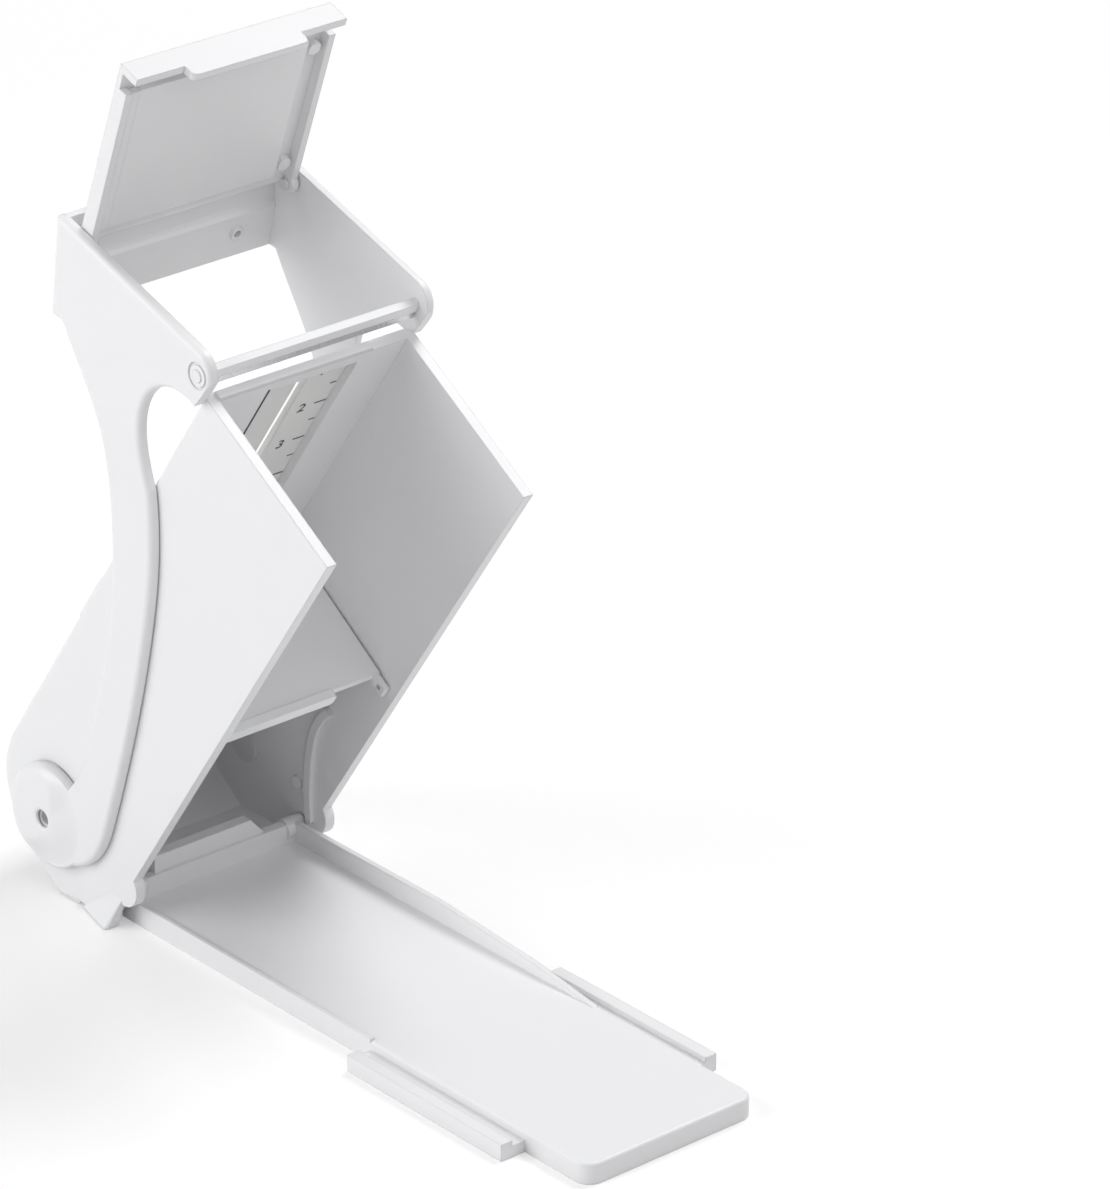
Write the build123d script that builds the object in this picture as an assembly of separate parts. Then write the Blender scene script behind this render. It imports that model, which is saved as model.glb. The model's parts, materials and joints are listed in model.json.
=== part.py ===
from build123d import *
import math
import os

# Butter cutter dispenser, open for loading: the tray lies on the table and the magazine leans over it.
# World: x runs along the tray from its hinge end, y across it, z up. Left is +y, right is -y.
# The magazine, its panel and its slider are drawn in the magazine's own frame: x along the magazine
# from its foot to its mouth, z through its depth from the tray side to the slider side.
# The lever and its lid are drawn square to the head's open top, then swung to the open position.

# Magazine
magazine_width = 62.4
magazine_depth = 53.3
magazine_length = 155.6
mouth_slant = 2.4
wall = 2.9
nose_radius = 22.7
edge_round = 2.0
foot_gap = 0.3
foot_flare = 3.2
pad_length = 7.0
mouth_strip = 0.8

# Stance of the open dispenser
lean_angle = 55.3
frame_rise = 0.6

# Tray that is also the magazine's door
tray_overhang = 19.1
tray_width = 52.4
tray_thickness = 5.5
tray_corner = 4.2
rim_height = 5.4
rim_thickness = 1.6
heel_height = 4.6
rail_length = 56.5
rail_end_gap = 3.1
rail_reach = 7.2
rail_drop = 1.0
rail_channel = 1.4
seat_gap = 0.3
hinge_depth = 3.1
hinge_pin_radius = 1.6
ear_along = 13.6
ear_depth = 1.6
ear_radius = 5.2

# Lever with its ring-shaped head
pivot_along = 7.1
pivot_depth = 29.0
pivot_pin_radius = 3.0
hub_radius = 13.3
cap_height = 2.6
cap_hole_radius = 2.3
side_gap = 0.3
arm_thickness = 2.7
arm_round = 1.4
lever_angle = 16.3
press_swing = 2.7
head_rise = 11.0
head_front = 7.2
press_flare = 4.8
press_wall = 1.8
press_rim_wall = 1.25
press_height = 23.8
press_step = 12.6

# Blade and its bar
bar_height = 2.2
bar_depth = 2.6
bar_rise = 3.9
bar_gap = 0.35
blade_thickness = 0.5
blade_drop = 2.0
tenon_radius = 1.6

# Lid of the head
lid_angle = 87.9
lid_sink = 1.1
lid_plate = 1.6
lid_depth = 4.3
lid_rim = 2.0
lid_gap = 0.35
lid_front = 8.0
lip_thickness = 2.0
lip_depth = 6.6
tab_width = 34.5
tab_drop = 3.7
lid_channel = 5.0
lid_groove = 3.0
lid_axis_sink = 2.8
lid_axis_inset = 4.6
lid_pin_radius = 1.4

# Slider
follower_front = 71.1
follower_thickness = 2.2
follower_bottom = 7.1
follower_gap = 0.5
lip_width = 4.0
slot_center = 1.0
slot_width = 3.3
slot_start = 27.0
slot_margin = 2.6
window_right = -11.5
window_left = 14.5
panel_width = 50.4
panel_thickness = 1.6
panel_proud = 0.8
panel_start = 10.0
panel_margin = 1.6
neck_start = 54.0
neck_length = 12.0
carrier_width = 16.0
knob_length = 21.0
knob_width = 32.6
knob_center = -8.7
knob_height = 3.0
knob_gap = 0.3
knob_clearance = 0.4
screw_radius = 0.7

running_gap = 0.06

# Derived places
half_width = magazine_width / 2
inner_half = half_width - wall
arm_inner = half_width + side_gap
arm_outer = arm_inner + arm_thickness
mouth_slider = magazine_length - mouth_slant
tray_length = magazine_length + tray_overhang
rail_end = magazine_length - rail_end_gap
rail_start = rail_end - rail_length
lean = math.radians(lean_angle)
hinge_along = (
    tray_thickness + seat_gap - frame_rise + hinge_depth * (1 - math.cos(lean))
) / math.sin(lean)
hinge_x = hinge_along * math.cos(lean) - hinge_depth * math.sin(lean)
hinge_z = frame_rise + hinge_along * math.sin(lean) + hinge_depth * math.cos(lean)
tray_half = tray_width / 2
rim_top = tray_thickness + rim_height
panel_outer = magazine_depth + panel_proud
panel_end = mouth_slider - panel_margin
slot_end = panel_end - slot_margin
knob_base_depth = panel_outer + knob_gap
head_top = magazine_length + head_rise
reach = head_top - pivot_along
press_rim = head_top - press_height - 1.8
bar_bottom = magazine_length + bar_rise
bar_front = lid_front + lip_thickness + bar_gap
lid_outer = head_top - lid_sink
lid_axis_x = lid_outer - lid_axis_sink
lid_half = arm_inner - lid_gap
nose_left = pivot_along - nose_radius * 0.87


def knob_line(x):
    """Depth that the head keeps to, so that it passes over the knob when pressed right down."""
    over = math.radians(press_swing)
    lift = knob_base_depth + knob_height + knob_clearance - pivot_depth + (x - pivot_along) * math.sin(over)
    return pivot_depth + lift / math.cos(over)


press_lower = knob_line(press_rim) + press_rim_wall
press_top = press_lower + press_flare
lid_axis_depth = press_lower - lid_axis_inset


def prism(profile, y_from, y_to):
    """A profile drawn in x and z, made solid between two places across the width."""
    face = Plane.XZ.offset(-y_from) * profile
    return extrude(face, amount=y_from - y_to)


def block(x0, x1, y0, y1, z0, z1):
    """A box between three pairs of limits."""
    return Pos((x0 + x1) / 2, (y0 + y1) / 2, (z0 + z1) / 2) * Box(abs(x1 - x0), abs(y1 - y0), abs(z1 - z0))


def rod(x, z, radius, y_from, y_to):
    """A round bar lying across the width."""
    return Pos(x, (y_from + y_to) / 2, z) * Rot(90, 0, 0) * Cylinder(radius, abs(y_to - y_from))


def local(x, z):
    """A world place in the magazine's frame."""
    rise = z - frame_rise
    return (x * math.cos(lean) + rise * math.sin(lean), rise * math.cos(lean) - x * math.sin(lean))


def placed(shape):
    """From the magazine's frame to the world."""
    return Pos(0, 0, frame_rise) * Rot(0, -lean_angle, 0) * shape


def swing(shape, x, z, angle):
    """Turns a shape about a line across the width."""
    return Pos(x, 0, z) * Rot(0, -angle, 0) * Pos(-x, 0, -z) * shape


def lever_open(shape):
    """Swings the lever back about its pivot to the open position."""
    return swing(shape, pivot_along, pivot_depth, lever_angle)


def lid_open(shape):
    """Flips the shut lid up about its pins."""
    return swing(shape, lid_axis_x, lid_axis_depth, lid_angle)


def mirrored(shape):
    """The same shape on the other side."""
    return mirror(shape, about=Plane.XZ)


# Magazine shell: a channel with a rounded nose, open to the tray and at the mouth
heel_line = local(-12.0, 1.6)
toe = local(0.3, foot_gap)
nose = Spline(
    (pivot_along + 3.0, magazine_depth),
    (pivot_along - nose_radius * 0.62, pivot_depth + nose_radius * 0.73),
    (nose_left, pivot_depth - 5.0),
    tangents=[(-1, 0), (0, -1)],
)
shell_side = make_face(
    nose
    + Polyline(
        (nose_left, pivot_depth - 5.0),
        local(-21.5, 1.0),
        local(-18.5, 0.9),
        heel_line,
        toe,
        (toe[0] + 1.0, 0),
        (magazine_length, 0),
        (mouth_slider, magazine_depth),
        (pivot_along + 3.0, magazine_depth),
    )
)
shell = prism(shell_side, -half_width, half_width)
round_edges = shell.edges().filter_by(
    lambda e: abs(abs(e.center().Y) - half_width) < 0.01
    and e.center().Z > pivot_depth
    and e.center().X < magazine_length * 0.75
)
shell = fillet(round_edges, edge_round)

inner_nose = Spline(
    (pivot_along + 3.0, magazine_depth - wall),
    (pivot_along - nose_radius * 0.62 + wall * 0.64, pivot_depth + nose_radius * 0.73 - wall * 0.76),
    (nose_left + wall, pivot_depth - 5.0),
    tangents=[(-1, 0), (0, -1)],
)
floor_start = local(-14.5, 1.6 + wall)
floor_end = local(-3.4, 1.2 + wall)
cavity_side = make_face(
    inner_nose
    + Polyline(
        (nose_left + wall, pivot_depth - 5.0),
        (nose_left + wall, floor_start[1] + 6.4),
        floor_start,
        floor_end,
        local(-3.4, -5.0),
        local(12.0, -12.0),
        (magazine_length + 8, -8),
        (magazine_length + 8, magazine_depth - wall),
        (pivot_along + 3.0, magazine_depth - wall),
    )
)
shell = shell - prism(cavity_side, -inner_half, inner_half)

# Round ears on the front edges, above the tray's hinge
ear = rod(ear_along, ear_depth, ear_radius, inner_half, half_width)
shell = shell + ear + mirrored(ear)
bore_end = inner_half + 1.8
hinge_bore = rod(hinge_along, hinge_depth, hinge_pin_radius + running_gap, -bore_end, bore_end)
shell = shell - hinge_bore
shell = shell - rod(pivot_along, pivot_depth, pivot_pin_radius, -40, 40)

# Window and rebate for the scale panel
shell = shell - block(
    slot_start - 2, slot_end + 1, window_right, window_left, magazine_depth - 12, magazine_depth + 5,
)
panel_plan = Pos((panel_start + panel_end) / 2, -0.1)
rebate = panel_plan * RectangleRounded(panel_end - panel_start + 0.2, panel_width + 0.2, 3.7)
shell = shell - extrude(Pos(0, 0, panel_outer - panel_thickness) * rebate, amount=5)

# Curved guide ribs and stop bosses inside both side walls
rib_outer = Spline((44.8, 14.2), (35.0, 15.0), (25.0, 11.4), (16.0, 6.0), (10.2, 0.6))
rib_inner = Spline((12.6, 0.2), (18.6, 4.6), (27.0, 9.4), (35.6, 12.6), (44.8, 12.0))
rib_face = make_face(
    rib_outer + Line((10.2, 0.6), (12.6, 0.2)) + rib_inner + Line((44.8, 12.0), (44.8, 14.2))
)
rib = prism(rib_face, inner_half - 1.2, inner_half + 0.2)
shell = shell + rib + mirrored(rib)
stop_boss = rod(16.6, 10.2, 1.7, inner_half - 1.0, inner_half + 0.2)
shell = shell + stop_boss + mirrored(stop_boss)

# Low strip on the slider wall's mouth, clear of the shut lid's tab, with a soft end
strip_end = 18.0
strip_top = mouth_slider + mouth_strip
strip_back = magazine_depth - wall + 0.3
strip = block(mouth_slider - 1, strip_top, -inner_half, strip_end, strip_back, magazine_depth - 0.5)
strip = fillet(strip.edges().filter_by(Axis.Z).group_by(Axis.Y)[-1].sort_by(Axis.X)[-1], mouth_strip * 0.8)
shell = shell + strip

# Rear foot pad under the nose
shell = placed(shell)
pad = block(-12.0 - pad_length, -12.0, -half_width + 0.4, half_width - 0.4, foot_gap, 4.2)
pad = fillet(pad.edges().filter_by(Axis.Y).group_by(Axis.Z)[0], 1.4)
shell = shell + pad

# Front corners of the foot, flared outward below the lever's lobe
foot_half = half_width + foot_flare
foot_inside = half_width - 1.0
foot_plan = Polyline(
    (-11.0, foot_inside),
    (-11.0, half_width),
    (2.0, foot_half),
    (2.7, foot_half - 0.6),
    (2.7, foot_inside),
    close=True,
)
foot_top = Polyline(
    (1.0, foot_inside),
    (1.0, half_width),
    (5.5, half_width),
    (5.8, half_width - 0.1),
    (5.8, foot_inside),
    close=True,
)
flare = loft([Pos(0, 0, foot_gap) * make_face(foot_plan), Pos(0, 0, 9.0) * make_face(foot_top)], ruled=True)
shell = shell + flare + mirrored(flare)

# Scale panel: a raised plate with the slider's slot, set over the window
panel_outline = panel_plan * RectangleRounded(panel_end - panel_start, panel_width, 3.6)
panel = extrude(Pos(0, 0, panel_outer - panel_thickness) * panel_outline, amount=panel_thickness)
panel = panel - block(
    slot_start, slot_end, slot_center - slot_width / 2, slot_center + slot_width / 2,
    magazine_depth - 5, magazine_depth + 5,
)
scale_floor = panel_outer - 0.3
panel = panel - block(
    panel_start + 1.6, panel_end + 5, 8.6, panel_width / 2 - 1.8, scale_floor, panel_outer + 2,
)
panel = panel - block(panel_start - 1, panel_end + 1, -13.9, -13.1, scale_floor, panel_outer + 2)

# Pivot pins, each with a hollow end that shows in its cap
cap_seat_gap = 0.3
pin_outer = arm_outer + 0.9
pivot_pin = rod(pivot_along, pivot_depth, pivot_pin_radius, inner_half - 0.2, pin_outer)
pivot_pin = pivot_pin + rod(pivot_along, pivot_depth, pivot_pin_radius + 1.6, inner_half - 1.2, inner_half)
pivot_pin = pivot_pin - rod(pivot_along, pivot_depth, pivot_pin_radius - 1.3, pin_outer - 3.0, pin_outer + 1)

# Caps over the lever's hubs: discs with a soft edge, hollow below for the pin
cap_soft = 3.4
socket_radius = pivot_pin_radius + cap_seat_gap
socket_top = pin_outer - arm_outer + cap_seat_gap
cap_shoulder = (hub_radius - cap_soft, cap_height)
cap_profile = make_face(
    Polyline((socket_radius, 0), (socket_radius, socket_top), (cap_hole_radius, socket_top))
    + Polyline((cap_hole_radius, socket_top), (cap_hole_radius, cap_height), cap_shoulder)
    + Spline(cap_shoulder, (hub_radius, 0.7), tangents=[(1, 0), (0.15, -1)])
    + Polyline((hub_radius, 0.7), (hub_radius, 0), (socket_radius, 0))
)
cap = revolve(Plane.XZ * cap_profile, Axis.Z)
cap = Pos(pivot_along, arm_outer, pivot_depth) * Rot(-90, 0, 0) * cap


# Lever: two curved arms and the ring-shaped head in one moulding
def arm_point(share, depth):
    """A place on the arm's outline, a share of the way from the pivot to the head's top."""
    return (pivot_along + reach * share, depth)


hub_edge = (pivot_along + hub_radius + 0.8, 23.6)
lobe = (pivot_along - 7.5, 18.0)
back_corner = (press_rim + 0.6, lid_axis_depth + 0.8)
neck = arm_point(0.703, 19.4)
hole_corner = arm_point(0.907, 12.0)
back_edge = Spline(
    back_corner,
    arm_point(0.805, lid_axis_depth - 6.2),
    arm_point(0.737, 42.2),
    arm_point(0.585, 29.4),
    arm_point(0.436, 23.3),
    arm_point(0.262, 21.6),
    arm_point(0.150, 21.8),
    hub_edge,
)
hole_edge = Spline(
    hole_corner,
    arm_point(0.900, 19.6),
    arm_point(0.871, 25.4),
    arm_point(0.818, 27.9),
    arm_point(0.754, 25.0),
    neck,
)
front_edge = Spline(
    neck,
    arm_point(0.596, 13.5),
    arm_point(0.456, 9.9),
    arm_point(0.264, 8.1),
    arm_point(0.097, 8.2),
    (pivot_along + 2.3, 9.9),
    (pivot_along - 4.5, 13.9),
    lobe,
)
head_corner = (head_top, head_front + 6.5)
head_nose = (head_top - 5.6, head_front)
hook = [arm_point(0.9335, head_front + 1.7), arm_point(0.911, head_front + 3.2)]
arm_side = make_face(
    Polyline(back_corner, (press_rim, press_lower), (head_top - 1.0, press_top), (head_top, press_top - 2))
    + Line((head_top, press_top - 2), head_corner)
    + ThreePointArc(head_corner, (head_top - 1.6, head_front + 1.9), head_nose)
    + Polyline(head_nose, *hook, hole_corner)
    + hole_edge
    + front_edge
    + Polyline(lobe, (pivot_along, pivot_depth), hub_edge)
    + back_edge
)
arm = prism(arm_side, arm_inner, arm_outer)
soft_edges = arm.edges().filter_by(lambda e: abs(e.center().Y - arm_outer) < 0.01 and e.length > 30)
arm = fillet(soft_edges, arm_round)
arm = arm + rod(pivot_along, pivot_depth, hub_radius, arm_inner, arm_outer)
arm = arm - rod(pivot_along, pivot_depth, pivot_pin_radius + running_gap, arm_inner - 1, arm_outer + 1)
lever = arm + mirrored(arm)

# Press wall: flared outward, thin above, with a strip inside its lower half that ends on the knob's line
press_slope = press_flare / (head_top - 1.0 - press_rim)
step_x = press_rim + press_step
step_depth = press_lower + press_slope * press_step
press_side = make_face(
    Polyline(
        (press_rim, press_lower),
        (head_top - 1.0, press_top),
        (head_top, press_top - 1.0),
        (head_top, press_top - press_wall - 0.9),
        (head_top - 2.8, press_top - press_wall - 1.5),
        (head_top - 3.6, press_top - press_wall - 0.4),
        (step_x + 0.9, step_depth - press_wall),
        (step_x, step_depth - press_wall - 0.5),
        (step_x - 0.9, knob_line(step_x)),
        (press_rim, knob_line(press_rim)),
        close=True,
    )
)
lever = lever + prism(press_side, -arm_inner - 0.5, arm_inner + 0.5)
corner_round = 2.0
corner_axis = arm_outer - corner_round
for side in (-1, 1):
    corner = block(-20, 60, side * corner_axis, side * (arm_outer + 1), -corner_round, 3)
    corner = corner - Pos(20, side * corner_axis, -corner_round) * Rot(0, 90, 0) * Cylinder(corner_round, 100)
    tilt = math.degrees(math.atan(press_slope))
    lever = lever - Pos(press_rim, 0, press_lower) * Rot(0, -tilt, 0) * corner
peg_place = Pos(press_rim + 7.0, 20.0, knob_line(press_rim + 7.0))
lever = lever + peg_place * Cylinder(1.9, 1.4) - peg_place * Cylinder(1.0, 2.0)

# Seats for the lid's pins and for the bar's tenons
lid_bore = rod(lid_axis_x, lid_axis_depth, lid_pin_radius + running_gap, arm_inner - 1, arm_outer - 0.6)
lever = lever - lid_bore - mirrored(lid_bore)
bar_x = bar_bottom + bar_height / 2
bar_z = bar_front + bar_depth / 2
tenon = rod(bar_x, bar_z, tenon_radius, arm_inner - 0.5, arm_outer + 0.3)
groove = rod(bar_x, bar_z, tenon_radius + 1.8, arm_outer - 0.4, arm_outer + 1)
groove = groove - rod(bar_x, bar_z, tenon_radius + 1.2, arm_outer - 1, arm_outer + 2)
lever = lever - tenon - mirrored(tenon) - groove - mirrored(groove)

# Bar across the head's front, with the blade let into its underside
blade_front = bar_front + 0.3
blade_back = blade_front + blade_thickness
blade_half = arm_inner - 0.3
blade = block(bar_bottom - blade_drop, bar_bottom + 1.2, -blade_half, blade_half, blade_front, blade_back)
bar = block(bar_bottom, bar_bottom + bar_height, -arm_inner, arm_inner, bar_front, bar_front + bar_depth)
bar = bar + tenon + mirrored(tenon) - blade

# Lid: a plate with side rims, a raised middle and a lip with a thumb tab
lid_inner = lid_outer - lid_plate
lid = block(lid_inner, lid_outer, -lid_half, lid_half, lid_front, lid_axis_depth)
rim_front = bar_front + bar_depth + 1.4
knuckle_radius = lid_axis_sink - 0.2
rim_back = lid_axis_depth - 2
for side in (-1, 1):
    inside = side * (lid_half - lid_rim)
    lid = lid + block(lid_outer - lid_depth, lid_inner, side * lid_half, inside, rim_front, rim_back)
    lid = lid + rod(lid_axis_x, lid_axis_depth, knuckle_radius, side * lid_half, inside)
channel_middle = lid_half - lid_rim - lid_channel / 2
for boss_depth in (rim_front + 4.0, lid_axis_depth - 7.0):
    lid = lid + Pos(lid_inner - 0.8, channel_middle, boss_depth) * Rot(0, 90, 0) * Cylinder(1.9, 1.8)
middle_left = channel_middle - lid_channel / 2
middle_right = lid_groove + lid_rim - lid_half
lid = lid + block(lid_inner - 1.8, lid_inner, middle_right, middle_left, rim_front + 0.5, lid_axis_depth - 4)
lid = lid + block(lid_outer - lip_depth, lid_inner, -lid_half, lid_half, lid_front, lid_front + lip_thickness)
tab_bottom = lid_outer - lip_depth - tab_drop
tab = block(tab_bottom, lid_inner, -tab_width / 2, tab_width / 2, lid_front, lid_front + lip_thickness)
tab = fillet(tab.edges().filter_by(Axis.Z).group_by(Axis.X)[0], 1.6)
lid = lid + tab
lid_pin = rod(lid_axis_x, lid_axis_depth, lid_pin_radius, lid_half - lid_rim - 1.0, arm_outer - 0.8)
lid = lid - rod(lid_axis_x, lid_axis_depth, lid_pin_radius, -40, 40)

# Follower plate with its front lip and side bracket, and the carrier behind it
follower_half = inner_half - follower_gap
follower_top = magazine_depth - wall - follower_gap
rear_face = follower_front - follower_thickness
follower = block(rear_face, follower_front, -follower_half, follower_half, follower_bottom, follower_top)
lip_bottom = follower_bottom - 2.0
lip_front = follower_front + 0.6
front_lip = block(
    lip_front - lip_width, lip_front, -follower_half + 3.5, 13.0, lip_bottom, follower_bottom + 0.4,
)
front_lip = fillet(front_lip.edges().filter_by(Axis.Z).group_by(Axis.Y)[-1], 1.2)
follower = follower + front_lip
bracket = block(
    rear_face - 1.4, follower_front - 0.4, follower_half - 1.6, follower_half, 2.4, follower_bottom + 0.6,
)
bracket = bracket - rod(follower_front - 2.0, 4.4, 0.8, follower_half - 5, follower_half + 5)
follower = follower + bracket

carrier_right = slot_center - carrier_width / 2
carrier_left = slot_center + carrier_width / 2
carrier = block(neck_start - 1.0, rear_face, carrier_right, carrier_left, follower_top - 8, follower_top)
neck_half = slot_width / 2 - 0.3
neck_top = knob_base_depth
neck_end = neck_start + neck_length
carrier = carrier + block(
    neck_start, neck_end, slot_center - neck_half, slot_center + neck_half, follower_top - 1, neck_top,
)
knob_mid = neck_start + neck_length / 2
screw_depth = 7.0
screw = Pos(knob_mid, slot_center, neck_top + 0.6 - screw_depth / 2) * Cylinder(screw_radius, screw_depth)
carrier = carrier - Pos(0, 0, -0.2) * screw - screw

# Knob outside the slot, with a framed and ribbed recess
knob_base = Pos(knob_mid, knob_center) * RectangleRounded(knob_length, knob_width, 4.2)
knob = extrude(Pos(0, 0, neck_top) * knob_base, amount=knob_height)
knob = fillet(knob.edges().group_by(Axis.Z)[-1], 1.0)
recess_base = Pos(knob_mid, knob_center) * RectangleRounded(knob_length - 5.6, knob_width - 6.0, 2.2)
knob = knob - extrude(Pos(0, 0, neck_top + knob_height - 1.2) * recess_base, amount=4)
for shift in (-4.8, 0, 4.8):
    ridge = Rot(90, 0, 0) * Cylinder(1.0, knob_width - 7.4)
    knob = knob + Pos(knob_mid + shift, knob_center, neck_top + knob_height - 1.3) * ridge
knob = knob + Pos(knob_mid + 4.0, knob_center + knob_width / 2 + 0.5, neck_top + 1.0) * Cylinder(1.3, 2.0)
knob = knob - screw

# Detent leaf under the slider wall
leaf_right = slot_center - 4
leaf_left = slot_center + 4
leaf = block(neck_start - 9, neck_start - 1.0, leaf_right, leaf_left, follower_top - 3.2, follower_top - 2.6)
leaf = leaf + rod(neck_start - 8.2, follower_top - 2.0, 0.9, leaf_right, leaf_left)

# Tray: plate, rails, rims, heel and hinge lugs
plate = block(-1.0, tray_length, -tray_half, tray_half, 0, tray_thickness)
plate = fillet(plate.edges().filter_by(Axis.Z).group_by(Axis.X)[-1], tray_corner)
top_edges = plate.edges().filter_by(lambda e: e.center().Z > tray_thickness - 0.01 and e.center().X > 1)
plate = fillet(top_edges, 0.8)
rail_outer = tray_half + rail_reach
rail_top = tray_thickness - rail_drop
rail_floor = rail_top - rail_channel
for side in (-1, 1):
    plate = plate + block(rail_start, rail_end, side * (tray_half - 1), side * rail_outer, 0, rail_floor)
    plate = plate + block(rail_start, rail_end, side * (rail_outer - 3.4), side * rail_outer, 0, rail_top)
back_front = 3.9
plate = plate + block(back_front - 3.0, back_front, -tray_half, tray_half, 1, rim_top)
heel_top = rim_top + heel_height
heel_right = -18.8
heel_left = 16.4
heel_side = make_face(
    Polyline(
        (heel_right, 1.0), (heel_right, heel_top), (heel_left - 4.9, heel_top),
        (heel_left, rim_top - 1.0), (heel_left, 1.0), close=True,
    )
)
heel = extrude(Plane.YZ.offset(back_front - 4.6) * heel_side, amount=3.6)
plate = plate + heel
far_rim = make_face(
    Polyline(
        (0, 1.0), (118, 1.0), (118, tray_thickness), (96, tray_thickness + rim_height * 0.55),
        (60, rim_top), (0, rim_top), close=True,
    )
)
plate = plate + prism(far_rim, tray_half - rim_thickness, tray_half)
plate = plate + block(0, rail_start, -tray_half, -tray_half + 1.2, 1, tray_thickness + 0.5)
lug_radius = 2.7
for side in (-1, 1):
    plate = plate + rod(hinge_x, hinge_z, lug_radius, side * (tray_half - 4), side * (inner_half - 0.35))
hinge_pin = rod(hinge_x, hinge_z, hinge_pin_radius, tray_half - 3, inner_half + 1.6)
plate = plate - hinge_pin - mirrored(hinge_pin)

pieces = {
    "door_tray": plate,
    "hinge_pin_left": hinge_pin,
    "hinge_pin_right": mirrored(hinge_pin),
    "magazine_shell": shell,
    "scale_panel": placed(panel),
    "pivot_pin_left": placed(pivot_pin),
    "pivot_pin_right": placed(mirrored(pivot_pin)),
    "hub_cap_left": placed(lever_open(cap)),
    "hub_cap_right": placed(lever_open(mirrored(cap))),
    "lever_frame": placed(lever_open(lever)),
    "cross_bar": placed(lever_open(bar)),
    "cutting_blade": placed(lever_open(blade)),
    "flip_lid": placed(lever_open(lid_open(lid))),
    "lid_pin_left": placed(lever_open(lid_open(lid_pin))),
    "lid_pin_right": placed(lever_open(lid_open(mirrored(lid_pin)))),
    "follower_plate": placed(follower),
    "slider_carrier": placed(carrier),
    "slider_knob": placed(knob),
    "knob_screw": placed(screw),
    "detent_leaf": placed(leaf),
}

os.makedirs("parts", exist_ok=True)
for name, piece in pieces.items():
    export_step(piece, f"parts/{name}.step")
    print(name, round(piece.volume, 1), len(piece.solids()))
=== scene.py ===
import json
import math

import bmesh
import bpy
from mathutils import Matrix, Vector


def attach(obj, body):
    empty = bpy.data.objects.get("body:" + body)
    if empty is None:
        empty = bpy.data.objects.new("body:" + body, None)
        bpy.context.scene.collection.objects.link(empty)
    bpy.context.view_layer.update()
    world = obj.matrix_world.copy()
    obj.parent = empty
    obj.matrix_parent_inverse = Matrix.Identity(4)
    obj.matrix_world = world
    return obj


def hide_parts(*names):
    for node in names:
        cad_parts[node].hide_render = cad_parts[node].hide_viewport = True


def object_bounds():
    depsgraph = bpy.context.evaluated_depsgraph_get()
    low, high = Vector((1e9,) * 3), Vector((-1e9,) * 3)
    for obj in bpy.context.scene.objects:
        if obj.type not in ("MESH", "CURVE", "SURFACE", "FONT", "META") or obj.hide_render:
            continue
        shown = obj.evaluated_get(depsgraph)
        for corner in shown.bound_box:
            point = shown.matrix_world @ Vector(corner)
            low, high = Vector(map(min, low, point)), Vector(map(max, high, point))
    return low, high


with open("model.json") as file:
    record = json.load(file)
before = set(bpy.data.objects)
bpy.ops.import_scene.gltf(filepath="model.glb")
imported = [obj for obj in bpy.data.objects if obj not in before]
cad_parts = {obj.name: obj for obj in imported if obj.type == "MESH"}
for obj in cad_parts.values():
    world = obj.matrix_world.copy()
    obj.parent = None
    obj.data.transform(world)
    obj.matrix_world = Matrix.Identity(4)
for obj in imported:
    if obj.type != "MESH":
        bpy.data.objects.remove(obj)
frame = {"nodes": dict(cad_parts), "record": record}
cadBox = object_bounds()
scene = bpy.context.scene
print("frame loaded")


# A socket's value with arithmetic, so a pattern is written as an expression
class Value:
    def __init__(self, graph, socket):
        self.graph = graph
        self.socket = socket

    # Another output of the same node
    def beside(self, name):
        return Value(self.graph, self.socket.node.outputs[name])

    def math(self, operation, other):
        return self.graph.add("ShaderNodeMath", {"operation": operation}, {0: self, 1: other})

    def __add__(self, other):
        return self.math("ADD", other)

    __radd__ = __add__

    def __mul__(self, other):
        return self.math("MULTIPLY", other)

    __rmul__ = __mul__


# Any node tree: a material's, the world's or a modifier's
class Graph:
    def __init__(self, tree):
        self.nodes = tree.nodes
        self.links = tree.links

    def join(self, value, socket):
        if isinstance(value, Value):
            self.links.new(value.socket, socket)
        else:
            socket.default_value = value

    # Settings come first, because some of them change the node's sockets.
    # A socket goes by its name, or by its number where another has the same name.
    def add(self, kind, settings=None, inputs=None, output=0):
        node = self.nodes.new(kind)
        for name, value in (settings or {}).items():
            setattr(node, name, value)
        for key, value in (inputs or {}).items():
            self.join(value, node.inputs[key])
        return Value(self, node.outputs[output]) if node.outputs else node


class Material(Graph):
    def __init__(self, name):
        self.material = bpy.data.materials.new(name)
        self.material.use_nodes = True
        super().__init__(self.material.node_tree)
        self.shader = next(n for n in self.nodes if n.type == "BSDF_PRINCIPLED")
        self.output = next(n for n in self.nodes if n.type == "OUTPUT_MATERIAL")

    def set(self, **inputs):
        for name, value in inputs.items():
            self.join(value, self.shader.inputs[name.replace("_", " ")])


# The Mix node has a set of sockets for each data type: 6 and 7 take the colours, 2 gives one
def mixColours(paint, factor, first, second):
    colours = {0: factor, 6: first, 7: second}
    return paint.add("ShaderNodeMix", {"data_type": "RGBA"}, colours, output=2)


def noise(paint, place, scale, detail):
    inputs = {"Vector": place, "Scale": scale, "Detail": detail}
    return paint.add("ShaderNodeTexNoise", {}, inputs)


# A pattern from 0 to 1 as values spread around a middle
def around(pattern, middle, spread):
    return pattern * spread + (middle - spread / 2)


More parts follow.
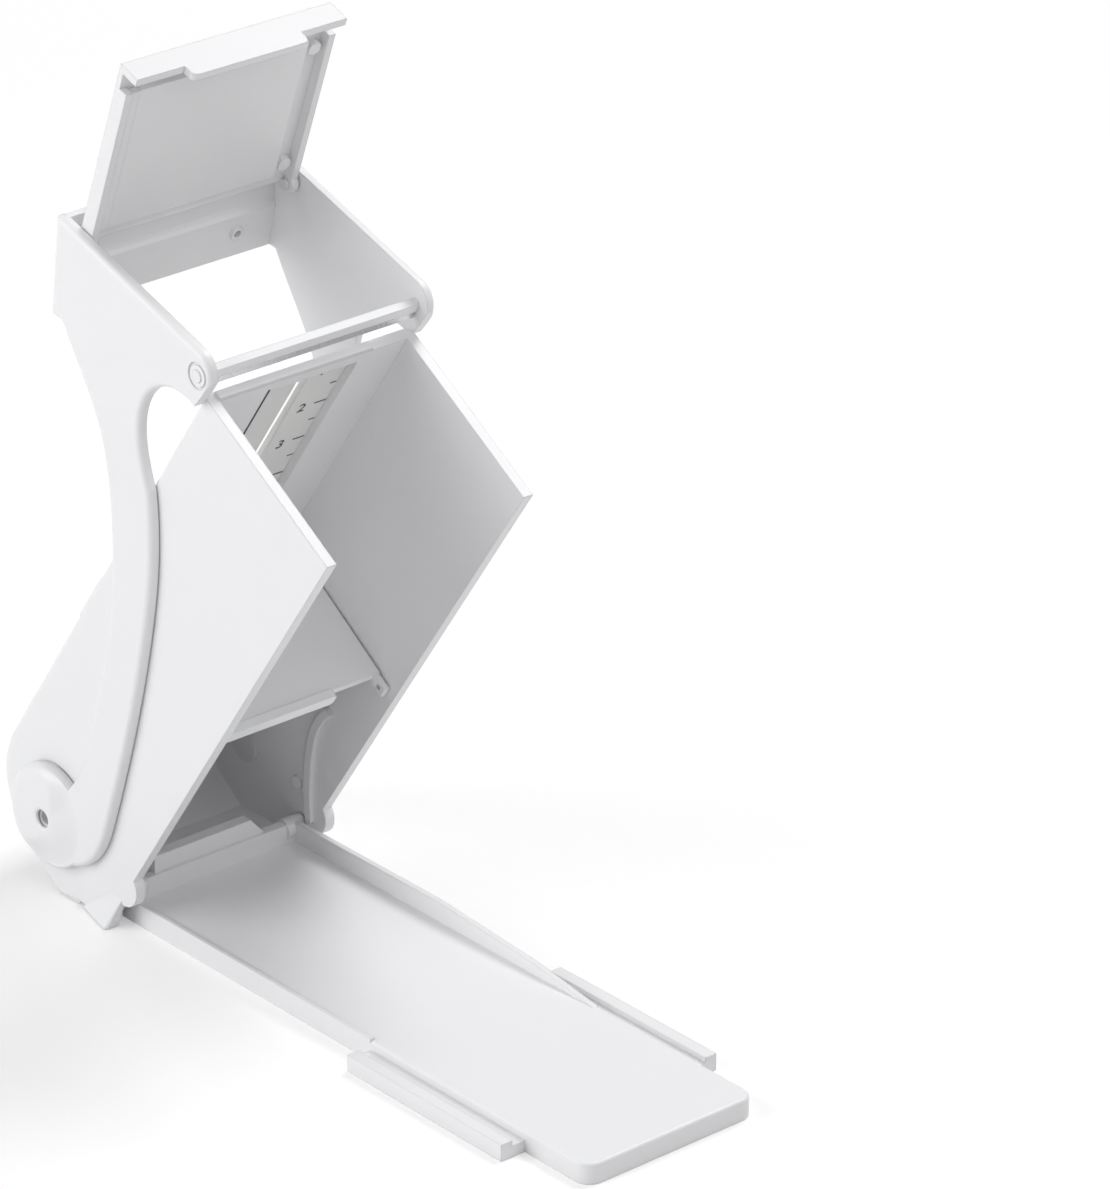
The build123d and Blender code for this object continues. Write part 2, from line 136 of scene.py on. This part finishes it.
mouldedPlastic = {
    "base": (0.85, 0.85, 0.862, 1),
    "shade": (0.82, 0.82, 0.835, 1),
    "roughness": 0.34,
    "roughnessSpread": 0.10,
    "gloss": 1.49,  # index of refraction
    "flowSize": 26,  # slow change over a moulding
    "flowDetail": 3.0,
    "grainSize": 2600,
    "grainDetail": 2.0,
    "grainShare": 0.7,  # of the bump; the flow has the rest
    "grainHeight": 0.000012,
    "bumpStrength": 0.35,
    "edgeRadius": 0.0005,
    "edgeSamples": 6,
}


def plastic(name, looks):
    paint = Material(name)
    place = paint.add("ShaderNodeTexCoord", output="Object")
    flow = noise(paint, place, looks["flowSize"], looks["flowDetail"])
    grain = noise(paint, place, looks["grainSize"], looks["grainDetail"])
    softened = paint.add(
        "ShaderNodeBevel", {"samples": looks["edgeSamples"]}, {"Radius": looks["edgeRadius"]}
    )
    surface = paint.add("ShaderNodeBump", {}, {
        "Strength": looks["bumpStrength"],
        "Distance": looks["grainHeight"],
        "Height": grain * looks["grainShare"] + flow * (1 - looks["grainShare"]),
        "Normal": softened,
    })
    paint.set(
        Base_Color=mixColours(paint, flow, looks["base"], looks["shade"]),
        Roughness=around(flow, looks["roughness"], looks["roughnessSpread"]),
        Normal=surface,
        IOR=looks["gloss"],
    )
    return paint.material


steelLooks = {
    "base": (0.62, 0.62, 0.64, 1),
    "roughness": 0.26,
    "roughnessSpread": 0.16,
    "scratchStretch": (60, 900, 900),
    "scratchDetail": 4.0,
    "scratchDepth": 0.00001,
    "bumpStrength": 0.3,
}


def brushedSteel(name, looks):
    paint = Material(name)
    place = paint.add("ShaderNodeTexCoord", output="Object")
    stretched = paint.add(
        "ShaderNodeMapping", {}, {"Vector": place, "Scale": looks["scratchStretch"]}
    )
    scratch = noise(paint, stretched, 1.0, looks["scratchDetail"])
    surface = paint.add("ShaderNodeBump", {}, {
        "Strength": looks["bumpStrength"],
        "Distance": looks["scratchDepth"],
        "Height": scratch,
    })
    paint.set(
        Base_Color=looks["base"],
        Metallic=1.0,
        Roughness=around(scratch, looks["roughness"], looks["roughnessSpread"]),
        Normal=surface,
    )
    return paint.material


# Black for the printed scale, and also for the painted shade line along the window's edge on the
# wall
printAndShadeLooks = {
    "base": (0.02, 0.02, 0.022, 1),
    "worn": (0.05, 0.05, 0.055, 1),
    "roughness": 0.5,
    "roughnessSpread": 0.2,
    "wearSize": 900.0,
    "wearDetail": 2.0,
}


def inkForPrintAndShade(name, looks):
    paint = Material(name)
    place = paint.add("ShaderNodeTexCoord", output="Object")
    wear = noise(paint, place, looks["wearSize"], looks["wearDetail"])
    paint.set(
        Base_Color=mixColours(paint, wear, looks["base"], looks["worn"]),
        Roughness=around(wear, looks["roughness"], looks["roughnessSpread"]),
    )
    return paint.material


# The scale's plate is duller than the other mouldings, and the pins a little darker
panelLooks = {
    **mouldedPlastic,
    "base": (0.82, 0.82, 0.80, 1),
    "shade": (0.79, 0.79, 0.775, 1),
    "roughness": 0.45,
}
pinLooks = {
    **mouldedPlastic,
    "base": (0.72, 0.72, 0.74, 1),
    "shade": (0.69, 0.69, 0.71, 1),
    "edgeRadius": 0.0003,
}
whitePlastic = plastic("whitePlastic", mouldedPlastic)
panelPlastic = plastic("panelPlastic", panelLooks)
pinPlastic = plastic("pinPlastic", pinLooks)
steel = brushedSteel("steel", steelLooks)
inkAndPaintedShade = inkForPrintAndShade("inkAndPaintedShade", printAndShadeLooks)

# By the record's material slots
finishes = {
    "white_moulding": whitePlastic,
    "scale_white": panelPlastic,
    "white_pin": pinPlastic,
    "steel": steel,
}
for part in frame["record"]["subparts"]:
    node = frame["nodes"][part["node"]]
    node.data.materials.clear()
    node.data.materials.append(finishes[part["material_slot"]])
print("finishes given to the moulded pieces")


# The magazine leans, and its print, with a painted shade line on the wall, is laid out along,
# across and out of its slider wall
lean = {"angle": 55.3, "rise": 0.0006}
leanTurn = math.radians(lean["angle"])
alongWay = (math.cos(leanTurn), 0, math.sin(leanTurn))


def magazinePlace(along, across, out):
    return Vector((
        along * math.cos(leanTurn) - out * math.sin(leanTurn),
        across,
        lean["rise"] + along * math.sin(leanTurn) + out * math.cos(leanTurn),
    ))


# The faces that are inked: the panel's faces are printed, and the wall gets a painted shade line;
# the height out of each, and which way its reader looks
scaleSides = {
    # The wall has no print: it only takes the painted shade line
    "wall": {"out": 0.0504, "reader": 1},
    "inside": {"out": 0.0525, "reader": 1},
    "outside": {"out": 0.0538, "reader": -1},
}
markHeight = 0.00008
numberResolution = 4
scaleRows = {
    # Painted shade: a dark line on the wall along the window's edge, standing in for the shade at
    # the step down to the panel; it is not print
    "paintedWindowShade": {
        "side": "wall", "count": 1, "start": 0.1055, "step": 0.0,
        "across": -0.0124, "size": (0.0905, 0.0006),
    },
    "insideLong": {
        "side": "inside", "count": 9, "start": 0.0265, "step": 0.0151,
        "across": 0.0124, "size": (0.0004, 0.0034),
    },
    "insideShort": {
        "side": "inside", "count": 8, "start": 0.03405, "step": 0.0151,
        "across": 0.0131, "size": (0.00035, 0.0018),
    },
    "outsideEdge": {
        "side": "outside", "count": 1, "start": 0.0855, "step": 0.0,
        "across": 0.0103, "size": (0.122, 0.0005),
    },
    "outsideLong": {
        "side": "outside", "count": 9, "start": 0.0265, "step": 0.0151,
        "across": 0.0207, "size": (0.0005, 0.0044),
    },
    "outsideShort": {
        "side": "outside", "count": 8, "start": 0.03405, "step": 0.0151,
        "across": 0.0217, "size": (0.0004, 0.0024),
    },
}
scaleNumbers = {
    "inside": {"count": 8, "start": 0.1468, "step": -0.0151, "across": 0.0070, "height": 0.0048},
    "outside": {"count": 8, "start": 0.1468, "step": -0.0151, "across": 0.0150, "height": 0.0062},
}


# Geometry Nodes tree for a row of dark bars along the scale: printed marks, and on the wall a
# painted shade line
def markTree():
    tree = bpy.data.node_groups.new("markRow", "GeometryNodeTree")
    kinds = {
        "Count": "NodeSocketInt",
        "Start": "NodeSocketVector",
        "Step": "NodeSocketVector",
        "Size": "NodeSocketVector",
        "Turn": "NodeSocketVector",
        "MarkMaterial": "NodeSocketMaterial",
    }
    sockets = {}
    for name, kind in kinds.items():
        socket = tree.interface.new_socket(name=name, in_out="INPUT", socket_type=kind)
        sockets[name] = socket.identifier
    tree.interface.new_socket(
        name="Geometry", in_out="OUTPUT", socket_type="NodeSocketGeometry"
    )
    row = Graph(tree)
    given = row.add("NodeGroupInput")
    wish = {name: given.beside(name) for name in kinds}
    line = row.add("GeometryNodeMeshLine", {"mode": "OFFSET"}, {
        "Count": wish["Count"],
        "Start Location": wish["Start"],
        "Offset": wish["Step"],
    })
    bar = row.add("GeometryNodeMeshCube", {}, {"Size": wish["Size"]})
    placed = row.add("GeometryNodeInstanceOnPoints", {}, {
        "Points": line,
        "Instance": bar,
        "Rotation": wish["Turn"],
    })
    real = row.add("GeometryNodeRealizeInstances", {}, {"Geometry": placed})
    inked = row.add("GeometryNodeSetMaterial", {}, {"Geometry": real, "Material": wish["MarkMaterial"]})
    row.add("NodeGroupOutput", {}, {"Geometry": inked})
    return tree, sockets


# What an object with a modifier, or a text, comes to as a plain mesh; the object goes
def plainMesh(maker):
    scene.collection.objects.link(maker)
    bpy.context.view_layer.update()
    solid = maker.evaluated_get(bpy.context.evaluated_depsgraph_get())
    mesh = bpy.data.meshes.new_from_object(solid)
    bpy.data.objects.remove(maker)
    return mesh


def meshOf(name, solid, material):
    mesh = bpy.data.meshes.new(name)
    solid.to_mesh(mesh)
    solid.free()
    mesh.materials.clear()
    mesh.materials.append(material)
    return mesh


def newPiece(name, mesh, body):
    piece = bpy.data.objects.new(name, mesh)
    scene.collection.objects.link(piece)
    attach(piece, body)
    return piece


def makeMarks(name, looks, tree, sockets):
    maker = bpy.data.objects.new(name, bpy.data.meshes.new(name))
    row = maker.modifiers.new("markRow", "NODES")
    row.node_group = tree
    out = scaleSides[looks["side"]]["out"]
    row[sockets["Count"]] = looks["count"]
    row[sockets["Start"]] = magazinePlace(looks["start"], looks["across"], out)
    row[sockets["Step"]] = [looks["step"] * share for share in alongWay]
    row[sockets["Size"]] = (*looks["size"], 2 * markHeight)
    row[sockets["Turn"]] = (0, -leanTurn, 0)
    row[sockets["MarkMaterial"]] = inkAndPaintedShade
    mesh = plainMesh(maker)
    mesh.name = name
    newPiece(name, mesh, "magazine")


# A number, centred on its place and read from inside or outside the magazine
def numberMesh(text, height, place, reader):
    curve = bpy.data.curves.new("number", "FONT")
    curve.body = text
    curve.size = height
    curve.align_x = "CENTER"
    curve.align_y = "CENTER"
    curve.extrude = markHeight
    curve.resolution_u = numberResolution
    mesh = plainMesh(bpy.data.objects.new("number", curve))
    right = Vector((0, reader, 0))
    up = Vector(alongWay)
    facing = Matrix((right, up, right.cross(up))).transposed()
    mesh.transform(Matrix.Translation(place) @ facing.to_4x4())
    return mesh


def makeNumbers(name, looks, side):
    joined = bmesh.new()
    for index in range(looks["count"]):
        along = looks["start"] + index * looks["step"]
        place = magazinePlace(along, looks["across"], side["out"])
        joined.from_mesh(numberMesh(str(index + 1), looks["height"], place, side["reader"]))
    newPiece(name, meshOf(name, joined, inkAndPaintedShade), "magazine")


rowTree, rowSockets = markTree()
for rowName, rowLooks in scaleRows.items():
    makeMarks("scaleInkAndShade." + rowName, rowLooks, rowTree, rowSockets)
for sideName, numberLooks in scaleNumbers.items():
    makeNumbers("scaleNumbers." + sideName, numberLooks, scaleSides[sideName])
print("scale printed")


# A lobe over the lever's hub: a soft free edge at the back, melting into the arm at the front
hubLobe = {
    "centre": (-0.01980029, 0.02294633),  # x and z of the lever's pivot
    "armOuter": 0.0342,  # y of the arm's outer face, from which the heights count
    "radius": 0.0134,
    "backReach": 0.0007,  # added to the radius at the back
    "frontFacing": -15.0,  # degrees, away from the back
    "backSharpness": 0.8,
    "height": 0.0021,
    "skirt": 0.0023,  # how deep its side goes into the arm
    "holeRadius": 0.0023,
    "holeBevel": 0.0004,
    "socketRadius": 0.0033,  # round the pin's end
    "socketTop": 0.00125,
    "freeEdge": 0.0032,  # width of the rounding at the back
    "meltEdge": 0.0108,  # width of the slope at the front
    "meltFacing": -28.0,  # degrees
    "meltSharpness": 0.95,
    "sink": 0.00006,  # takes the melted edge just under the arm's face
    "rings": 22,
    "steps": 144,
}


def smooth(share):
    share = min(max(share, 0.0), 1.0)
    return share * share * (3 - 2 * share)


# Radii and heights from the socket over the hole and the top to the skirt, at one angle
def lobeOutline(looks, angle):
    meltward = math.cos(angle - math.radians(looks["meltFacing"]))
    frontward = math.cos(angle - math.radians(looks["frontFacing"]))
    melt = smooth(0.5 + looks["meltSharpness"] * meltward)
    back = smooth(0.5 - looks["backSharpness"] * frontward)
    outer = looks["radius"] + looks["backReach"] * back
    width = looks["freeEdge"] + (looks["meltEdge"] - looks["freeEdge"]) * melt
    points = [
        (looks["socketRadius"], -looks["skirt"]),
        (looks["socketRadius"], looks["socketTop"]),
        (looks["holeRadius"], looks["socketTop"]),
        (looks["holeRadius"], looks["height"] - looks["holeBevel"] - looks["sink"]),
    ]
    inner = looks["holeRadius"] + looks["holeBevel"]
    for ring in range(looks["rings"] + 1):
        share = math.sin(ring / looks["rings"] * math.pi / 2)
        radius = inner + (outer - inner) * share
        reach = min((outer - radius) / width, 1.0)
        free = math.sqrt(max(1 - (1 - reach) ** 2, 0))
        height = looks["height"] * (free * (1 - melt) + smooth(reach) * melt)
        points.append((radius, height - looks["sink"]))
    points.append((outer, -looks["skirt"]))
    return points


def makeLobe(name, node, side, looks):
    solid = bmesh.new()
    columns = []
    for step in range(looks["steps"]):
        angle = step / looks["steps"] * 2 * math.pi
        columns.append([
            solid.verts.new((
                looks["centre"][0] + radius * math.cos(angle),
                side * (looks["armOuter"] + height),
                looks["centre"][1] + radius * math.sin(angle),
            ))
            for radius, height in lobeOutline(looks, angle)
        ])
    for step, column in enumerate(columns):
        after = columns[(step + 1) % len(columns)]
        for row in range(len(column)):
            below = (row + 1) % len(column)
            solid.faces.new((column[row], column[below], after[below], after[row]))
    bmesh.ops.recalc_face_normals(solid, faces=solid.faces)
    for face in solid.faces:
        face.smooth = True
    piece = newPiece(name, meshOf(name, solid, whitePlastic), "lever")
    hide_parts(node)


makeLobe("hubLobe.right", "hub_cap_right", -1, hubLobe)
makeLobe("hubLobe.left", "hub_cap_left", 1, hubLobe)
print("hub lobes shaped")


# A cove under the lid, from its near rim into its raised middle, drawn from the lid's axis
lidCove = {
    "axis": (-0.0008563, 0.180628),  # x and z
    "turn": 159.5,  # degrees that the raised lid is turned
    "rimSide": -0.02925,  # y where the rim and the cove meet
    "middleSide": -0.02605,  # y inside the raised middle
    "plateFace": 0.00125,
    "middleFace": -0.00062,
    "rimHeight": 0.0008,  # of the cove against the rim
    "coveWidth": 0.0017,
    "ends": (-0.0459, -0.0041),  # along the lid
    "steps": 8,
}


def makeCove(name, looks):
    profile = [(looks["rimSide"], looks["plateFace"])]
    for step in range(looks["steps"] + 1):
        angle = step / looks["steps"] * math.pi / 2
        profile.append((
            looks["rimSide"] + looks["coveWidth"] * (1 - math.cos(angle)),
            looks["middleFace"] - looks["rimHeight"] * (1 - math.sin(angle)),
        ))
    profile.append((looks["middleSide"], looks["middleFace"]))
    profile.append((looks["middleSide"], looks["plateFace"]))
    turn = math.radians(looks["turn"])
    solid = bmesh.new()
    rings = []
    for end in looks["ends"]:
        rings.append([
            solid.verts.new((
                looks["axis"][0] + face * math.cos(turn) - end * math.sin(turn),
                across,
                looks["axis"][1] + face * math.sin(turn) + end * math.cos(turn),
            ))
            for across, face in profile
        ])
    first, last = rings
    for row in range(len(profile)):
        after = (row + 1) % len(profile)
        solid.faces.new((first[row], first[after], last[after], last[row]))
    for ring in rings:
        solid.faces.new(ring)
    bmesh.ops.recalc_face_normals(solid, faces=solid.faces)
    newPiece(name, meshOf(name, solid, whitePlastic), "lid")


makeCove("lidCove", lidCove)
print("lid's cove shaped")


white = (1, 1, 1, 1)


# 1 for a ray from the camera or one that gloss or glass passes on, 0 for light on the object
def seenDirectly(graph):
    camera = graph.add("ShaderNodeLightPath", output="Is Camera Ray")
    glossy = camera.beside("Is Glossy Ray")
    passed = camera.beside("Is Transmission Ray")
    return camera.math("MAXIMUM", glossy).math("MAXIMUM", passed)


floorLooks = {
    "size": 30.0,
    "colour": (0.80, 0.80, 0.80, 1),
    "roughness": 0.9,
    "lift": 0.28,  # glow that takes the lit floor to near white
    "fade": (0.30, 0.75),  # distances between which it turns white like the world
}


def makeFloor(looks):
    half = looks["size"] / 2
    mesh = bpy.data.meshes.new("floor")
    corners = [(-half, -half, 0), (half, -half, 0), (half, half, 0), (-half, half, 0)]
    mesh.from_pydata(corners, [], [(0, 1, 2, 3)])
    floor = bpy.data.objects.new("floor", mesh)
    scene.collection.objects.link(floor)
    paint = Material("floorPaint")
    paint.set(Base_Color=looks["colour"], Roughness=looks["roughness"], Specular_IOR_Level=0.0)
    seen = seenDirectly(paint)
    glow = paint.add("ShaderNodeEmission", {}, {"Color": white, "Strength": seen * looks["lift"]})
    lit = Value(paint, paint.shader.outputs["BSDF"])
    near = paint.add("ShaderNodeAddShader", {}, {0: lit, 1: glow})
    place = paint.add("ShaderNodeTexCoord", output="Object")
    distance = paint.add(
        "ShaderNodeVectorMath", {"operation": "LENGTH"}, {0: place}, output="Value"
    )
    fade = paint.add("ShaderNodeMapRange", {"interpolation_type": "SMOOTHSTEP"}, {
        "Value": distance,
        "From Min": looks["fade"][0],
        "From Max": looks["fade"][1],
    })
    far = paint.add("ShaderNodeEmission", {}, {"Color": white, "Strength": 1.0})
    both = paint.add("ShaderNodeMixShader", {}, {0: seen * fade, 1: near, 2: far})
    paint.join(both, paint.output.inputs["Surface"])
    mesh.materials.append(paint.material)


worldLight = 0.29


def makeWorld(strength):
    world = bpy.data.worlds.new("studio")
    scene.world = world
    world.use_nodes = True
    world.node_tree.nodes.clear()
    sky = Graph(world.node_tree)
    seen = seenDirectly(sky)
    light = sky.add("ShaderNodeBackground", {}, {"Color": white, "Strength": strength})
    backdrop = sky.add("ShaderNodeBackground", {}, {"Color": white, "Strength": 1.0})
    both = sky.add("ShaderNodeMixShader", {}, {0: seen, 1: light, 2: backdrop})
    sky.add("ShaderNodeOutputWorld", {}, {"Surface": both})


lamps = {
    "left": {"place": (-0.5, -1.35, 0.65), "size": 1.3, "power": 15.5},
    "front": {"place": (1.1, -0.4, 1.2), "size": 0.9, "power": 3.2},
    "right": {"place": (1.2, 0.6, 0.9), "size": 1.0, "power": 2.5},
    "top": {"place": (0.0, 0.8, 1.3), "size": 0.7, "power": 10.5},
}


# A lamp's or a camera's turn that makes it look along a direction
def lookAlong(direction):
    return direction.to_track_quat("-Z", "Y").to_euler()


def makeLamp(name, looks, target):
    light = bpy.data.lights.new(name, "AREA")
    light.energy = looks["power"]
    light.size = looks["size"]
    lamp = bpy.data.objects.new(name, light)
    scene.collection.objects.link(lamp)
    lamp.location = looks["place"]
    lamp.rotation_euler = lookAlong(target - Vector(looks["place"]))


# The photograph's view: its focal length is in the photograph's own pixels
cameraLooks = {
    "place": (1.200658, -0.917079, 0.794791),
    "forward": (-0.68562383, 0.58878662, -0.42807743),
    "focalPixels": 6820.34,
    "photoWidth": 1110,
    "sensorWidth": 36.0,
    "clip": (0.05, 50.0),
}


def makeCamera(looks):
    data = bpy.data.cameras.new("photoView")
    data.sensor_fit = "HORIZONTAL"
    data.sensor_width = looks["sensorWidth"]
    data.lens = looks["focalPixels"] / looks["photoWidth"] * looks["sensorWidth"]
    data.clip_start, data.clip_end = looks["clip"]
    camera = bpy.data.objects.new("photoView", data)
    scene.collection.objects.link(camera)
    camera.location = looks["place"]
    camera.rotation_euler = lookAlong(Vector(looks["forward"]))
    scene.camera = camera


makeFloor(floorLooks)
makeWorld(worldLight)
middle = (cadBox[0] + cadBox[1]) / 2
for lampName, lampLooks in lamps.items():
    makeLamp(lampName, lampLooks, middle)
makeCamera(cameraLooks)
scene.view_settings.view_transform = "Standard"
print("studio and camera ready")
